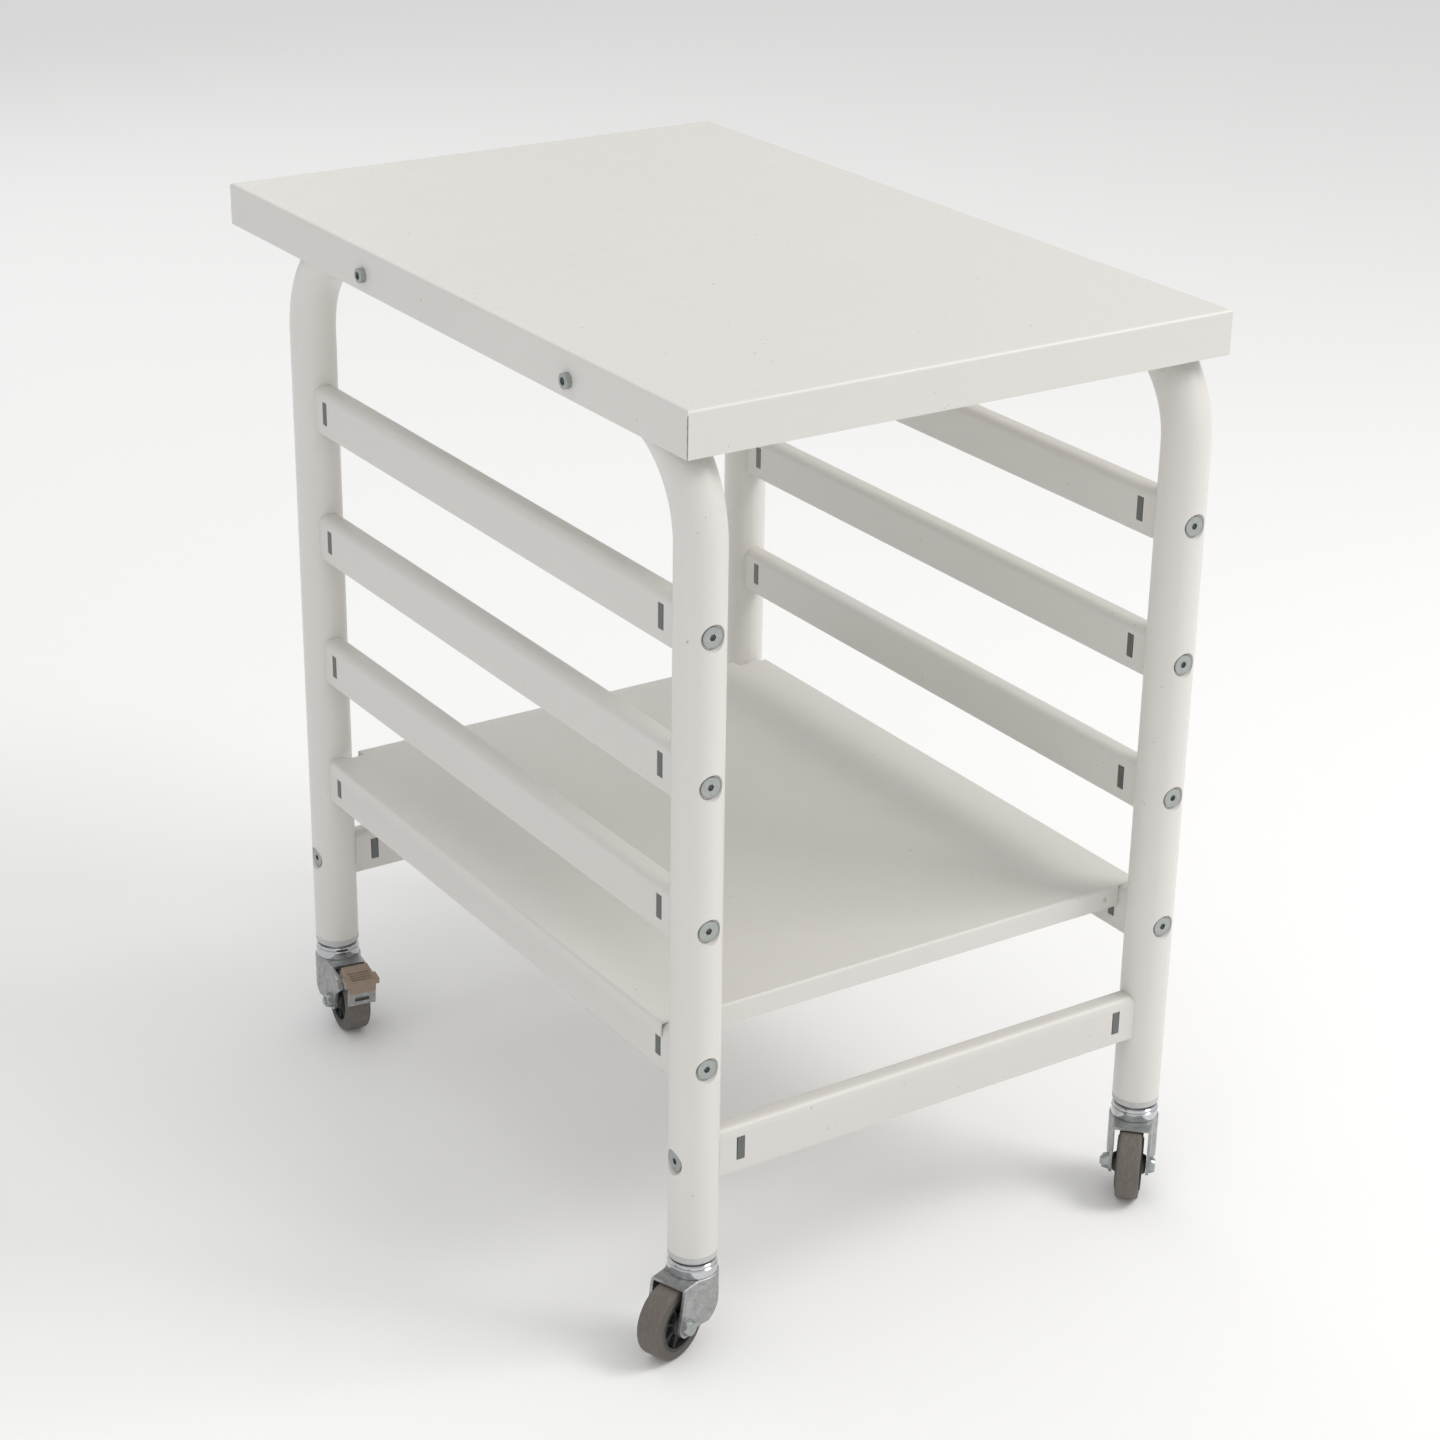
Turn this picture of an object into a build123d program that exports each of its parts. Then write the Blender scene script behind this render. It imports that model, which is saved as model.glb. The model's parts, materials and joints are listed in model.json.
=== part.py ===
from build123d import *
import os
from math import cos, radians, sin

# All sizes are in millimetres. X runs across the trolley, Y along it (back at +Y), Z up from the floor.

# --- Driving dimensions -------------------------------------------------------------------------------
# Side frames: two bent tubes, each a pair of legs and the run that carries the tabletop.
tube_d = 32.0
tube_wall = 2.0
leg_spacing_x = 363.0
leg_spacing_y = 500.0
frame_height = 625.5
bend_radius = 70.0

# Tabletop: a sheet steel tray turned upside down.
top_side_gap = 1.0
top_front_reach = 13.5
top_back_reach = 86.5
top_sheet = 1.5
top_flange = 29.0
top_edge_radius = 2.5
corner_seam = 0.8
seam_below_top = 3.0
top_screw_spacing = 265.0

# Rails: a U channel pressed from sheet, open underneath, its ends cut to the round of the legs.
rail_width = 16.0
rail_height = 32.0
rail_sheet = 1.5
rail_edge_radius = 6.0
lowest_rail_z = 203.0
rail_pitch = 95.0
rails_per_side = 4
cross_rail_z = 135.0
rail_end_gap = 0.1

# Plate nuts that stand in slots through both walls of a rail.
plate_nut_offset = 30.0
plate_nut_thick = 5.0
plate_nut_height = 16.0
plate_nut_play = 0.5
slot_play = 1.2

# Rail bolts: thin flat heads with a small hexagon socket, sunk in dimples pressed into the legs.
bolt_d = 6.0
bolt_hole_play = 0.6
bolt_head_d = 13.5
bolt_head_thick = 1.8
bolt_socket_flats = 4.0
bolt_socket_depth = 3.0
bolt_past_nut = 3.0
dimple_seat = 12.2
dimple_play = 0.9
dimple_flare = 1.4
thread_play = 0.1

# Tabletop screws and the rivet nuts in the frame that take them.
screw_head_d = 10.0
screw_head_height = 4.0
screw_socket_flats = 5.0
screw_socket_depth = 2.4
screw_length = 14.0
rivet_nut_d = 9.0
rivet_nut_length = 11.0
rivet_nut_flange_d = 12.0
rivet_nut_fit = 0.05

# Shelf: a thin sheet steel tray that lies over the lowest pair of rails.
shelf_sheet = 1.2
shelf_front_in = 23.0
shelf_back_in = 12.0
shelf_side_front_in = 24.5
shelf_side_back_in = 22.0
shelf_side_lip = 10.0
shelf_end_lip = 15.0
shelf_edge_radius = 2.4
shelf_rail_play = 0.5
shelf_end_lip_play = 1.0
shelf_leg_gap = 1.0
shelf_hole_d = 4.0
shelf_hole_in = 11.0
shelf_hole_down = 8.0

# Castor sockets pressed into the tube ends.
socket_flange = 5.0
socket_depth = 40.0
socket_fit = 0.1
socket_edge = 1.2
stem_d = 11.0
stem_length = 34.0
stem_fit = 0.1

# Castors. Their sizes are along the trail, across it, and up from the floor.
wheel_d = 50.0
tyre_width = 19.0
tyre_edge_radius = 2.6
trail = 22.4
hub_rim_d = 36.8
hub_rim_width = 17.6
hub_rim_thick = 2.2
hub_web_width = 9.0
hub_boss_d = 15.0
hub_end_play = 0.35
axle_d = 6.0
hub_bore_play = 0.05
axle_hex_flats = 10.0
axle_head_height = 4.0
axle_nut_height = 5.0
axle_end = 1.5
fork_sheet = 2.0
fork_round_r = 17.0
fork_front_half = 13.7
fork_waist_r = 14.0
fork_front = 24.5
fork_wheel_gap = 1.0
fork_boss_r = 7.5
fork_skirt = 7.0
fork_press_radius = 1.6
race_d = 32.0
race_top_d = 31.0
race_height = 6.4
race_top_thick = 2.1
race_gap = 0.5
race_bore_d = 17.0
race_edge = 0.8
ball_d = 3.5
ball_circle_d = 23.0
ball_count = 14
ball_play = 0.05
king_pin_d = 8.0
king_pin_play = 0.05
king_head_d = 13.0
king_head_thick = 3.0
king_head_gap = 0.3
neck_d = 24.0
neck_height = 2.0

# Brake on the two back castors: a bent steel lever on a pin, with a ribbed plastic pad.
brake_pin_s = 40.0
brake_pin_z = 46.5
brake_pin_d = 4.0
brake_pin_head_d = 6.6
brake_pin_head = 1.0
brake_pin_play = 0.05
nose_r = 5.0
lever_sheet = 1.8
lever_half = 10.6
lever_ear_sheet = 1.5
lever_ear_gap = 0.3
lever_ear_r = 3.6
lever_back_s = 36.5
lever_back_z = 53.6
lever_crest_s = 53.6
lever_crest_z = 50.6
lever_lip_s = 52.4
lever_lip_z = 34.0
lever_window_half = 5.6
lever_window_low = 36.7
lever_window_high = 39.8
pad_half = 10.1
pad_wing_half = 12.9
pad_wing_s = 47.5
pad_wing_drop = 4.2
pad_thick = 4.2
pad_front_thick = 2.6
pad_skirt_z = 44.6
pad_rib_count = 4
pad_rib_pitch = 2.6
pad_rib_width = 1.3
pad_rib_depth = 0.7
pad_edge_radius = 0.9

# The way each castor trails when the trolley is at rest, in degrees from +X.
headings = {"front_left": -159.8, "front_right": -133.8, "back_left": -97.6, "back_right": 48.7}
braked = ("back_left", "back_right")

# --- Sizes that follow --------------------------------------------------------------------------------
tube_r = tube_d / 2
bore_r = tube_r - tube_wall
leg_x = leg_spacing_x / 2
leg_y = leg_spacing_y / 2
run_z = frame_height - tube_r
top_z = frame_height + top_sheet
top_half_width = leg_x + tube_r + top_side_gap + top_sheet
top_front_y = -leg_y - top_front_reach
top_back_y = leg_y + top_back_reach
shelf_front_y = shelf_front_in - leg_y
shelf_back_y = leg_y - shelf_back_in
shelf_front_side_y = shelf_side_front_in - leg_y
shelf_back_side_y = leg_y - shelf_side_back_in
rail_levels = [lowest_rail_z + rail_pitch * i for i in range(rails_per_side)]
shelf_top_z = lowest_rail_z + rail_height / 2 + shelf_sheet
wheel_r = wheel_d / 2
crown_under = wheel_d + fork_wheel_gap
crown_top = crown_under + fork_sheet
cheek_inner_half = fork_front_half - fork_sheet
race_split = crown_top + race_height
race_top = race_split + race_gap + race_top_thick
castor_height = race_top + neck_height
tube_end_z = castor_height + socket_flange
corners = {
    "front_left": (-leg_x, -leg_y),
    "front_right": (leg_x, -leg_y),
    "back_left": (-leg_x, leg_y),
    "back_right": (leg_x, leg_y),
}


def wheel_reach(corner, along):
    """How far a resting wheel reaches along X (0) or Y (1), on the side it trails towards."""
    direction = (cos(radians(headings[corner])), sin(radians(headings[corner])))
    centre = corners[corner][along] + trail * direction[along]
    reach = wheel_r * abs(direction[along]) + tyre_width / 2 * abs(direction[1 - along])
    return centre + reach if direction[along] > 0 else centre - reach


# The origin is on the floor, under the middle of the trolley's footprint, castors included.
front_limit = min(wheel_reach("front_left", 1), wheel_reach("front_right", 1))
footprint = Pos(0, -(front_limit + top_back_y) / 2, 0)


# --- Small makers -------------------------------------------------------------------------------------
def rod(radius, start, end, axis="Z"):
    """A cylinder between two stations along an axis through the origin."""
    turn = {"X": Rot(0, 90, 0), "Y": Rot(-90, 0, 0), "Z": Rot(0, 0, 0)}
    return turn[axis] * Pos(0, 0, (start + end) / 2) * Cylinder(radius, end - start)


def block(x0, x1, y0, y1, z0, z1):
    """A box between its lowest and highest corners."""
    return Pos((x0 + x1) / 2, (y0 + y1) / 2, (z0 + z1) / 2) * Box(x1 - x0, y1 - y0, z1 - z0)


def hexagon(flats, start, end):
    """A hexagonal bar along Z between two stations, measured across its flats."""
    face = RegularPolygon(flats / 2, 6, major_radius=False)
    return Pos(0, 0, start) * extrude(face, end - start)


def turned(points):
    """A solid of revolution about Z from an outline of (radius, height) points."""
    outline = Plane.XZ * make_face(Polyline(*points, close=True))
    return revolve(outline, Axis.Z)


def across(points, half):
    """A plate outline of (along, up) points, pushed out both ways across the castor."""
    outline = Plane.XZ * make_face(Polyline(*points, close=True))
    return extrude(outline, half, both=True)


def save(name, *shapes):
    """Writes one node of one or more solids, moved to put the origin under the middle of the footprint."""
    placed = [footprint * shape for shape in shapes]
    node = placed[0] if len(placed) == 1 else Compound(placed)
    node.label = name
    export_step(node, f"parts/{name}.step")


# --- Side frames --------------------------------------------------------------------------------------
def dimple_tools(z, outward):
    """Pad, recess and hole for one rail bolt on a leg at the origin; outward turns +X to the head's side."""
    pad_face = dimple_seat - tube_wall
    recess_r = bolt_head_d / 2 + dimple_play
    turn = Pos(0, 0, z) * Rot(0, 0, outward) * Rot(0, 90, 0)
    pad = Pos(0, 0, (pad_face + tube_r) / 2) * Cylinder(recess_r + tube_wall, tube_r - pad_face)
    depth = tube_r + 1 - dimple_seat
    recess = Pos(0, 0, dimple_seat + depth / 2) * Cone(recess_r, recess_r + dimple_flare, depth)
    hole = Cylinder((bolt_d + bolt_hole_play) / 2, tube_d + 2)
    return turn * pad, turn * recess, turn * hole


def side_frame(side):
    """One bent tube, with its bolt dimples and its rivet nut holes. side is -1 left or 1 right."""
    bottom, top = (leg_y, tube_end_z), (leg_y, run_z)
    corners_2d = [(-bottom[0], bottom[1]), (-top[0], top[1]), top, bottom]
    path = FilletPolyline(*[(0, y, z) for y, z in corners_2d], radius=bend_radius)
    start = Plane(origin=(0, -leg_y, tube_end_z), z_dir=(0, 0, 1))
    outer = sweep(start * Circle(tube_r), path=path)
    tube = outer - sweep(start * Circle(bore_r), path=path)
    for end in (-1, 1):
        bolts = [(z, 90 * end) for z in rail_levels] + [(cross_rail_z, 90 - 90 * side)]
        for z, outward in bolts:
            pad, recess, hole = dimple_tools(z, outward)
            leg = Cylinder(tube_r - 0.01, 60)
            tube += Pos(0, end * leg_y, 0) * (pad & Pos(0, 0, z) * leg)
            tube -= Pos(0, end * leg_y, 0) * recess
            tube -= Pos(0, end * leg_y, 0) * hole
    for y in (-top_screw_spacing / 2, top_screw_spacing / 2):
        drill = rod(rivet_nut_d / 2 + rivet_nut_fit, 0, tube_d, "X")
        tube -= Pos(0, y, run_z) * (drill if side > 0 else drill.mirror(Plane.YZ))
    return Pos(side * leg_x, 0, 0) * tube


# --- Tabletop -----------------------------------------------------------------------------------------
def tabletop():
    """The folded tray: rounded along its upper edges, open at the corner seams, four screw holes."""
    y0, y1 = top_front_y, top_back_y
    half = top_half_width
    tray = block(-half, half, y0, y1, top_z - top_flange, top_z)
    tray = fillet(tray.faces().sort_by(Axis.Z)[-1].edges(), top_edge_radius)
    t = top_sheet
    inside = block(-half + t, half - t, y0 + t, y1 - t, top_z - top_flange, top_z - t)
    inside = fillet(inside.faces().sort_by(Axis.Z)[-1].edges(), top_edge_radius - t)
    tray -= inside
    for x in (-half, half):
        for y in (y0, y1):
            seam_height = top_flange - seam_below_top
            seam = Box(6 * top_sheet, corner_seam, seam_height)
            turn = Rot(0, 0, 45 if x * y > 0 else -45)
            tray -= Pos(x, y, top_z - top_flange + seam_height / 2) * turn * seam
    for y in (-top_screw_spacing / 2, top_screw_spacing / 2):
        tray -= Pos(0, y, run_z) * rod((bolt_d + bolt_hole_play) / 2, -half - 1, half + 1, "X")
    return tray


def tabletop_screw():
    """Socket head screw along -X, its head's underside at the origin."""
    head = rod(screw_head_d / 2, 0, screw_head_height)
    head = fillet(head.edges().sort_by(Axis.Z)[-1], 0.6)
    head -= hexagon(screw_socket_flats, screw_head_height - screw_socket_depth, screw_head_height + 1)
    return Rot(0, 90, 0) * (head + rod(bolt_d / 2, -screw_length, 0.1))


def rivet_nut():
    """Flanged rivet nut along -X; its flange fills the gap from tube to tabletop flange."""
    flange = rod(rivet_nut_flange_d / 2, -top_side_gap, 0)
    body = rod(rivet_nut_d / 2, -top_side_gap - rivet_nut_length, -top_side_gap)
    return Rot(0, 90, 0) * (flange + body - rod(bolt_d / 2 + thread_play, -40, 1))


def tabletop_fixings(part, depth):
    """One fixing for each tabletop screw's place, at a depth behind the flange's outer face."""
    x = top_half_width - depth
    for y in (-top_screw_spacing / 2, top_screw_spacing / 2):
        yield Pos(x, y, run_z) * part
        yield Pos(-x, y, run_z) * Rot(0, 0, 180) * part


# --- Rails and their bolts ----------------------------------------------------------------------------
def rail_channel(spacing):
    """A rail along Y between two leg axes a spacing apart, its own axis at mid height."""
    outer = Rectangle(rail_width, rail_height)
    outer = fillet(outer.vertices().group_by(Axis.Y)[-1], rail_edge_radius)
    inner = Pos(0, -rail_sheet) * Rectangle(rail_width - 2 * rail_sheet, rail_height)
    inner = fillet(inner.vertices().group_by(Axis.Y)[-1], rail_edge_radius - rail_sheet)
    channel = extrude(Plane.XZ * (outer - inner), spacing / 2, both=True)
    for end in (-1, 1):
        y = end * spacing / 2
        channel -= Pos(0, y, 0) * Cylinder(tube_r + rail_end_gap, rail_height + 2)
        slot_y = y - end * plate_nut_offset
        channel -= Pos(0, slot_y, 0) * Box(rail_width + 2, plate_nut_thick + slot_play,
                                           plate_nut_height + plate_nut_play)
    middle = max(channel.solids(), key=lambda s: s.volume)
    return middle


def plate_nut():
    """Plate nut for a bolt along Y."""
    plate = Box(rail_width, plate_nut_thick, plate_nut_height)
    return plate - rod(bolt_d / 2 + thread_play, -plate_nut_thick, plate_nut_thick, "Y")


def rail_bolt():
    """Bolt along +Y from the outside of a leg whose axis is at the origin."""
    seat = -dimple_seat
    face = seat - bolt_head_thick
    tip = plate_nut_offset + plate_nut_thick / 2 + bolt_past_nut
    head = rod(bolt_head_d / 2, face, seat, "Y")
    head = fillet(head.edges().sort_by(Axis.Y)[0], 0.5)
    shank = rod(bolt_d / 2, seat - 0.1, tip, "Y")
    shank = chamfer(shank.edges().sort_by(Axis.Y)[-1], 0.8)
    socket = Rot(90, 0, 0) * hexagon(bolt_socket_flats, -face - bolt_socket_depth, -face + 1)
    return head + shank - socket


def side_rail_fixings(part, offset):
    """One fixing for each end of each side rail, offset inwards from the leg's axis."""
    for x in (-leg_x, leg_x):
        for z in rail_levels:
            yield Pos(x, -leg_y + offset, z) * part
            yield Pos(x, leg_y - offset, z) * Rot(0, 0, 180) * part


def cross_rail_fixings(part, offset):
    """One fixing for each end of the two cross rails, offset inwards from the leg's axis."""
    for y in (-leg_y, leg_y):
        yield Pos(-leg_x + offset, y, cross_rail_z) * Rot(0, 0, -90) * part
        yield Pos(leg_x - offset, y, cross_rail_z) * Rot(0, 0, 90) * part


# --- Shelf --------------------------------------------------------------------------------------------
def folded(half, y0, y1, lip, lips_along):
    """Sheet with a rounded fold and a lip down each of the two edges that run along "X" or "Y"."""
    inset_x, inset_y = (-1, shelf_sheet) if lips_along == "X" else (shelf_sheet, -1)
    folds = Axis.X if lips_along == "X" else Axis.Y
    outside = block(-half, half, y0, y1, shelf_top_z - lip, shelf_top_z)
    outside = fillet(outside.edges().filter_by(folds).group_by(Axis.Z)[-1], shelf_edge_radius)
    under = block(-half + inset_x, half - inset_x, y0 + inset_y, y1 - inset_y,
                  shelf_top_z - lip - 1, shelf_top_z - shelf_sheet)
    under = fillet(under.edges().filter_by(folds).group_by(Axis.Z)[-1], shelf_edge_radius - shelf_sheet)
    return outside - under


def shelf():
    """Tray with side lips outside the rails, end lips between them, and room for the back legs."""
    side_half = leg_x + rail_width / 2 + shelf_rail_play + shelf_sheet
    front_half = leg_x - rail_width / 2 - shelf_end_lip_play
    back_half = leg_x - tube_r - shelf_leg_gap
    tray = folded(side_half, shelf_front_side_y, shelf_back_side_y, shelf_side_lip, "Y")
    long = folded(front_half, shelf_front_y, shelf_back_y, shelf_end_lip, "X")
    back = block(-back_half, back_half, shelf_back_side_y, shelf_back_y, 0, shelf_top_z)
    front = block(-front_half, front_half, shelf_front_y, shelf_back_side_y, 0, shelf_top_z)
    tray += long & (front + back)
    for x in (-front_half + shelf_hole_in, front_half - shelf_hole_in):
        hole = rod(shelf_hole_d / 2, shelf_front_y - 1, shelf_front_y + 5, "Y")
        tray -= Pos(x, 0, shelf_top_z - shelf_hole_down) * hole
    return tray


# --- Castors, made at the origin with the wheel trailing along +X ---------------------------------------
def castor_socket():
    flange = rod(tube_r, castor_height, tube_end_z)
    flange = fillet(flange.edges().sort_by(Axis.Z)[0], socket_edge)
    sleeve = rod(bore_r - socket_fit, tube_end_z - 0.1, tube_end_z + socket_depth)
    sleeve = chamfer(sleeve.edges().sort_by(Axis.Z)[-1], 1.0)
    return flange + sleeve - rod(stem_d / 2 + stem_fit, castor_height - 1, tube_end_z + socket_depth + 1)


def ball_groove():
    return Pos(0, 0, race_split + race_gap / 2) * Torus(ball_circle_d / 2, ball_d / 2 + ball_play)


def castor_stem():
    """Stem, neck, upper race and king pin in one turned piece that stays with the leg."""
    head_top = crown_under - king_head_gap
    head_under = head_top - king_head_thick
    lower = race_split + race_gap
    top = castor_height + stem_length
    stem = turned([
        (0, head_under), (king_head_d / 2 - 1, head_under), (king_head_d / 2, head_under + 1),
        (king_head_d / 2, head_top), (king_pin_d / 2, head_top), (king_pin_d / 2, lower),
        (race_top_d / 2, lower), (race_top_d / 2, race_top - race_edge), (race_top_d / 2 - race_edge, race_top),
        (neck_d / 2, race_top), (neck_d / 2, castor_height), (stem_d / 2, castor_height),
        (stem_d / 2, top - 1), (stem_d / 2 - 1, top), (0, top),
    ])
    return stem - ball_groove()


def castor_race():
    """Lower race, a pressed ring on the fork's crown."""
    r = race_d / 2
    ring = turned([
        (race_bore_d / 2, crown_top), (r - race_edge / 2, crown_top), (r, crown_top + race_edge / 2),
        (r, race_split - race_edge), (r - race_edge, race_split), (race_bore_d / 2, race_split),
    ])
    return ring - ball_groove()


def castor_balls():
    ball = Pos(ball_circle_d / 2, 0, race_split + race_gap / 2) * Sphere(ball_d / 2)
    return [Rot(0, 0, 360 * i / ball_count) * ball for i in range(ball_count)]


def fork_plan(round_r, half, waist_r, reach):
    """Outline seen from above: round at the swivel, drawn in by a hollow curve to parallel cheeks."""
    cheeks = make_face(Polyline((0, half), (reach, half), (reach, -half), (0, -half), close=True))
    plan = cheeks + Circle(round_r)
    return fillet([corner for corner in plan.vertices() if corner.X < reach - 1], waist_r)


def castor_fork(with_brake):
    """Pressed fork: a crown round the swivel and two cheeks down to the axle, or out to the brake pin."""
    reach = brake_pin_s + nose_r + 1 if with_brake else trail + fork_boss_r + 1
    t = fork_sheet
    plan = fork_plan(fork_round_r, fork_front_half, fork_waist_r, reach)
    room = fork_plan(fork_round_r - t, cheek_inner_half, fork_waist_r + t, reach + 1)
    shell = extrude(plan, crown_top)
    shell = fillet(shell.edges().group_by(Axis.Z)[-1], fork_press_radius)
    shell -= extrude(room, crown_under)
    shell -= block(fork_front, reach + 2, -cheek_inner_half, cheek_inner_half, 0, crown_top + 1)
    boss_front = trail + fork_boss_r
    back = [(trail - 3, wheel_r - fork_boss_r + 0.6), (4, 21.5), (-8, 31),
            (-fork_round_r, crown_top - fork_skirt)]
    if with_brake:
        front = [(fork_front, crown_top), (brake_pin_s + 1.2, brake_pin_z + nose_r),
                 (brake_pin_s + nose_r, brake_pin_z), (brake_pin_s + 2.5, brake_pin_z - nose_r + 0.8),
                 (33, 35), (boss_front, wheel_r + 2)]
        nose = Pos(brake_pin_s, 0, brake_pin_z) * rod(nose_r, -20, 20, "Y")
    else:
        front = [(fork_front, crown_top), (boss_front, wheel_r + 2)]
        nose = None
    outline = [(-fork_round_r, crown_top)] + front + [(trail, wheel_r)] + back
    side = across(outline, fork_round_r + 1)
    boss = Pos(trail, 0, wheel_r) * rod(fork_boss_r, -20, 20, "Y")
    side = side + boss + nose if nose else side + boss
    fork = shell & side
    fork -= Pos(trail, 0, wheel_r) * rod(axle_d / 2 + thread_play, -30, 30, "Y")
    fork -= rod(king_pin_d / 2 + king_pin_play, crown_under - 1, crown_top + 1)
    if with_brake:
        fork -= Pos(brake_pin_s, 0, brake_pin_z) * rod(brake_pin_d / 2 + brake_pin_play, -30, 30, "Y")
    return max(fork.solids(), key=lambda s: s.volume)


def at_axle(shape):
    """Turns a piece made along +Z onto the axle, its +Z across the castor to +Y."""
    return Pos(trail, 0, wheel_r) * Rot(-90, 0, 0) * shape


def axle_bolt():
    head = hexagon(axle_hex_flats, fork_front_half, fork_front_half + axle_head_height)
    dome = Pos(0, 0, fork_front_half) * Cone(axle_hex_flats * 0.62, axle_hex_flats * 0.45, axle_head_height,
                                             align=(Align.CENTER, Align.CENTER, Align.MIN))
    tip = -fork_front_half - axle_nut_height - axle_end
    shank = rod(axle_d / 2, tip, fork_front_half + 0.1)
    shank = chamfer(shank.edges().sort_by(Axis.Z)[0], 0.6)
    return at_axle((head & dome) + shank)


def axle_nut():
    nut = hexagon(axle_hex_flats, -fork_front_half - axle_nut_height, -fork_front_half)
    dome = Pos(0, 0, -fork_front_half) * Cone(axle_hex_flats * 0.47, axle_hex_flats * 0.62, axle_nut_height,
                                              align=(Align.CENTER, Align.CENTER, Align.MAX))
    return at_axle((nut & dome) - rod(axle_d / 2 + thread_play, -40, 0))


def wheel_hub():
    """Moulded core: rim, web and a long boss that turns on the axle bolt."""
    boss = cheek_inner_half - hub_end_play
    bore = axle_d / 2 + hub_bore_play
    rim, rim_in = hub_rim_d / 2, hub_rim_d / 2 - hub_rim_thick
    half, web, boss_r = hub_rim_width / 2, hub_web_width / 2, hub_boss_d / 2
    return at_axle(turned([
        (bore, -boss), (boss_r - 1.5, -boss), (boss_r, -half), (boss_r, -web), (rim_in, -web), (rim_in, -half),
        (rim, -half), (rim, half), (rim_in, half), (rim_in, web), (boss_r, web), (boss_r, half),
        (boss_r - 1.5, boss), (bore, boss),
    ]))


def wheel_tyre():
    tyre = rod(wheel_r, -tyre_width / 2, tyre_width / 2)
    tyre = fillet(tyre.edges().filter_by(GeomType.CIRCLE), tyre_edge_radius)
    return at_axle(tyre - rod(hub_rim_d / 2, -tyre_width, tyre_width))


def brake_pin():
    outer = fork_front_half
    pin = rod(brake_pin_d / 2, -outer, outer, "Y")
    for end in (-1, 1):
        head = rod(brake_pin_head_d / 2, outer, outer + brake_pin_head, "Y")
        pin += head if end > 0 else head.mirror(Plane.XZ)
    return Pos(brake_pin_s, 0, brake_pin_z) * pin


def lever_line():
    """Middle line of the lever's strip, from its back edge over the crest to its lip."""
    return Polyline((lever_back_s, lever_back_z), (lever_crest_s, lever_crest_z), (lever_lip_s, lever_lip_z))


def lever_strip(half):
    return extrude(Plane.XZ * make_face(offset(lever_line(), lever_sheet / 2, side=Side.BOTH)), half, both=True)


def brake_lever():
    """Steel strip bent over the wheel, with two ears on the pin and a window near its lip."""
    strip = lever_strip(lever_half)
    strip -= block(40, 60, -lever_window_half, lever_window_half, lever_window_low, lever_window_high)
    ear_out = cheek_inner_half - lever_ear_gap
    ear = across([(lever_back_s, lever_back_z), (lever_crest_s - 1, lever_crest_z),
                  (lever_crest_s - 2, lever_crest_z - 4), (brake_pin_s + 3, brake_pin_z - 2),
                  (brake_pin_s - 3, brake_pin_z - 2)], ear_out)
    ear += Pos(brake_pin_s, 0, brake_pin_z) * rod(lever_ear_r, -ear_out, ear_out, "Y")
    ear -= Box(200, 2 * (ear_out - lever_ear_sheet), 200)
    lever = strip + ear
    return lever - Pos(brake_pin_s, 0, brake_pin_z) * rod(brake_pin_d / 2 + brake_pin_play, -30, 30, "Y")


def brake_pad():
    """Plastic pad over the lever's crest, with wings at the front and grip grooves across its top."""
    half_sheet = lever_sheet / 2
    under = [(lever_back_s, lever_back_z + half_sheet), (lever_crest_s + half_sheet, lever_crest_z + half_sheet),
             (lever_crest_s + half_sheet - 0.4, pad_skirt_z)]
    crest = (lever_crest_s + half_sheet + pad_front_thick, lever_crest_z + half_sheet + pad_thick - 1)
    over = [(lever_crest_s + pad_front_thick, pad_skirt_z), crest,
            (lever_back_s + 1, lever_back_z + half_sheet + pad_thick)]
    pad = across(under + over, pad_half)
    wing = across(under[1:2] + [(crest[0] - 0.3, crest[1] - pad_wing_drop), crest,
                                (pad_wing_s, crest[1] + 1), (pad_wing_s, lever_crest_z + half_sheet + 1.2)],
                  pad_wing_half)
    pad = fillet((pad + wing).edges().group_by(Axis.Z)[-1], pad_edge_radius / 2)
    slope = (crest[1] - over[-1][1]) / (crest[0] - over[-1][0])
    for i in range(pad_rib_count):
        s = crest[0] - 2.6 - pad_rib_pitch * i
        z = crest[1] + slope * (s - crest[0])
        groove = Box(pad_rib_width, 2 * pad_half - 4, 2 * pad_rib_depth)
        pad -= Pos(s, 0, z) * groove
    return pad - lever_strip(pad_wing_half + 1)


def castor_pieces(with_brake):
    """The solids of every piece of one castor by name, with the wheel trailing along +X."""
    pieces = {
        "stem": [castor_stem()],
        "race": [castor_race()],
        "balls": castor_balls(),
        "fork": [castor_fork(with_brake)],
        "axle_bolt": [axle_bolt()],
        "axle_nut": [axle_nut()],
        "hub": [wheel_hub()],
        "tyre": [wheel_tyre()],
    }
    if with_brake:
        pieces |= {"brake_pin": [brake_pin()], "brake_lever": [brake_lever()], "brake_pad": [brake_pad()]}
    return pieces


# --- The whole trolley --------------------------------------------------------------------------------
os.makedirs("parts", exist_ok=True)

save("tabletop", tabletop())
save("side_frame_left", side_frame(-1))
save("side_frame_right", side_frame(1))

side_rail = rail_channel(leg_spacing_y)
for level, height in enumerate(rail_levels, start=1):
    save(f"rail_left_{level}", Pos(-leg_x, 0, height) * side_rail)
    save(f"rail_right_{level}", Pos(leg_x, 0, height) * side_rail)

cross_rail = Rot(0, 0, 90) * rail_channel(leg_spacing_x)
save("cross_rail_front", Pos(0, -leg_y, cross_rail_z) * cross_rail)
save("cross_rail_back", Pos(0, leg_y, cross_rail_z) * cross_rail)

save("shelf", shelf())

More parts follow.
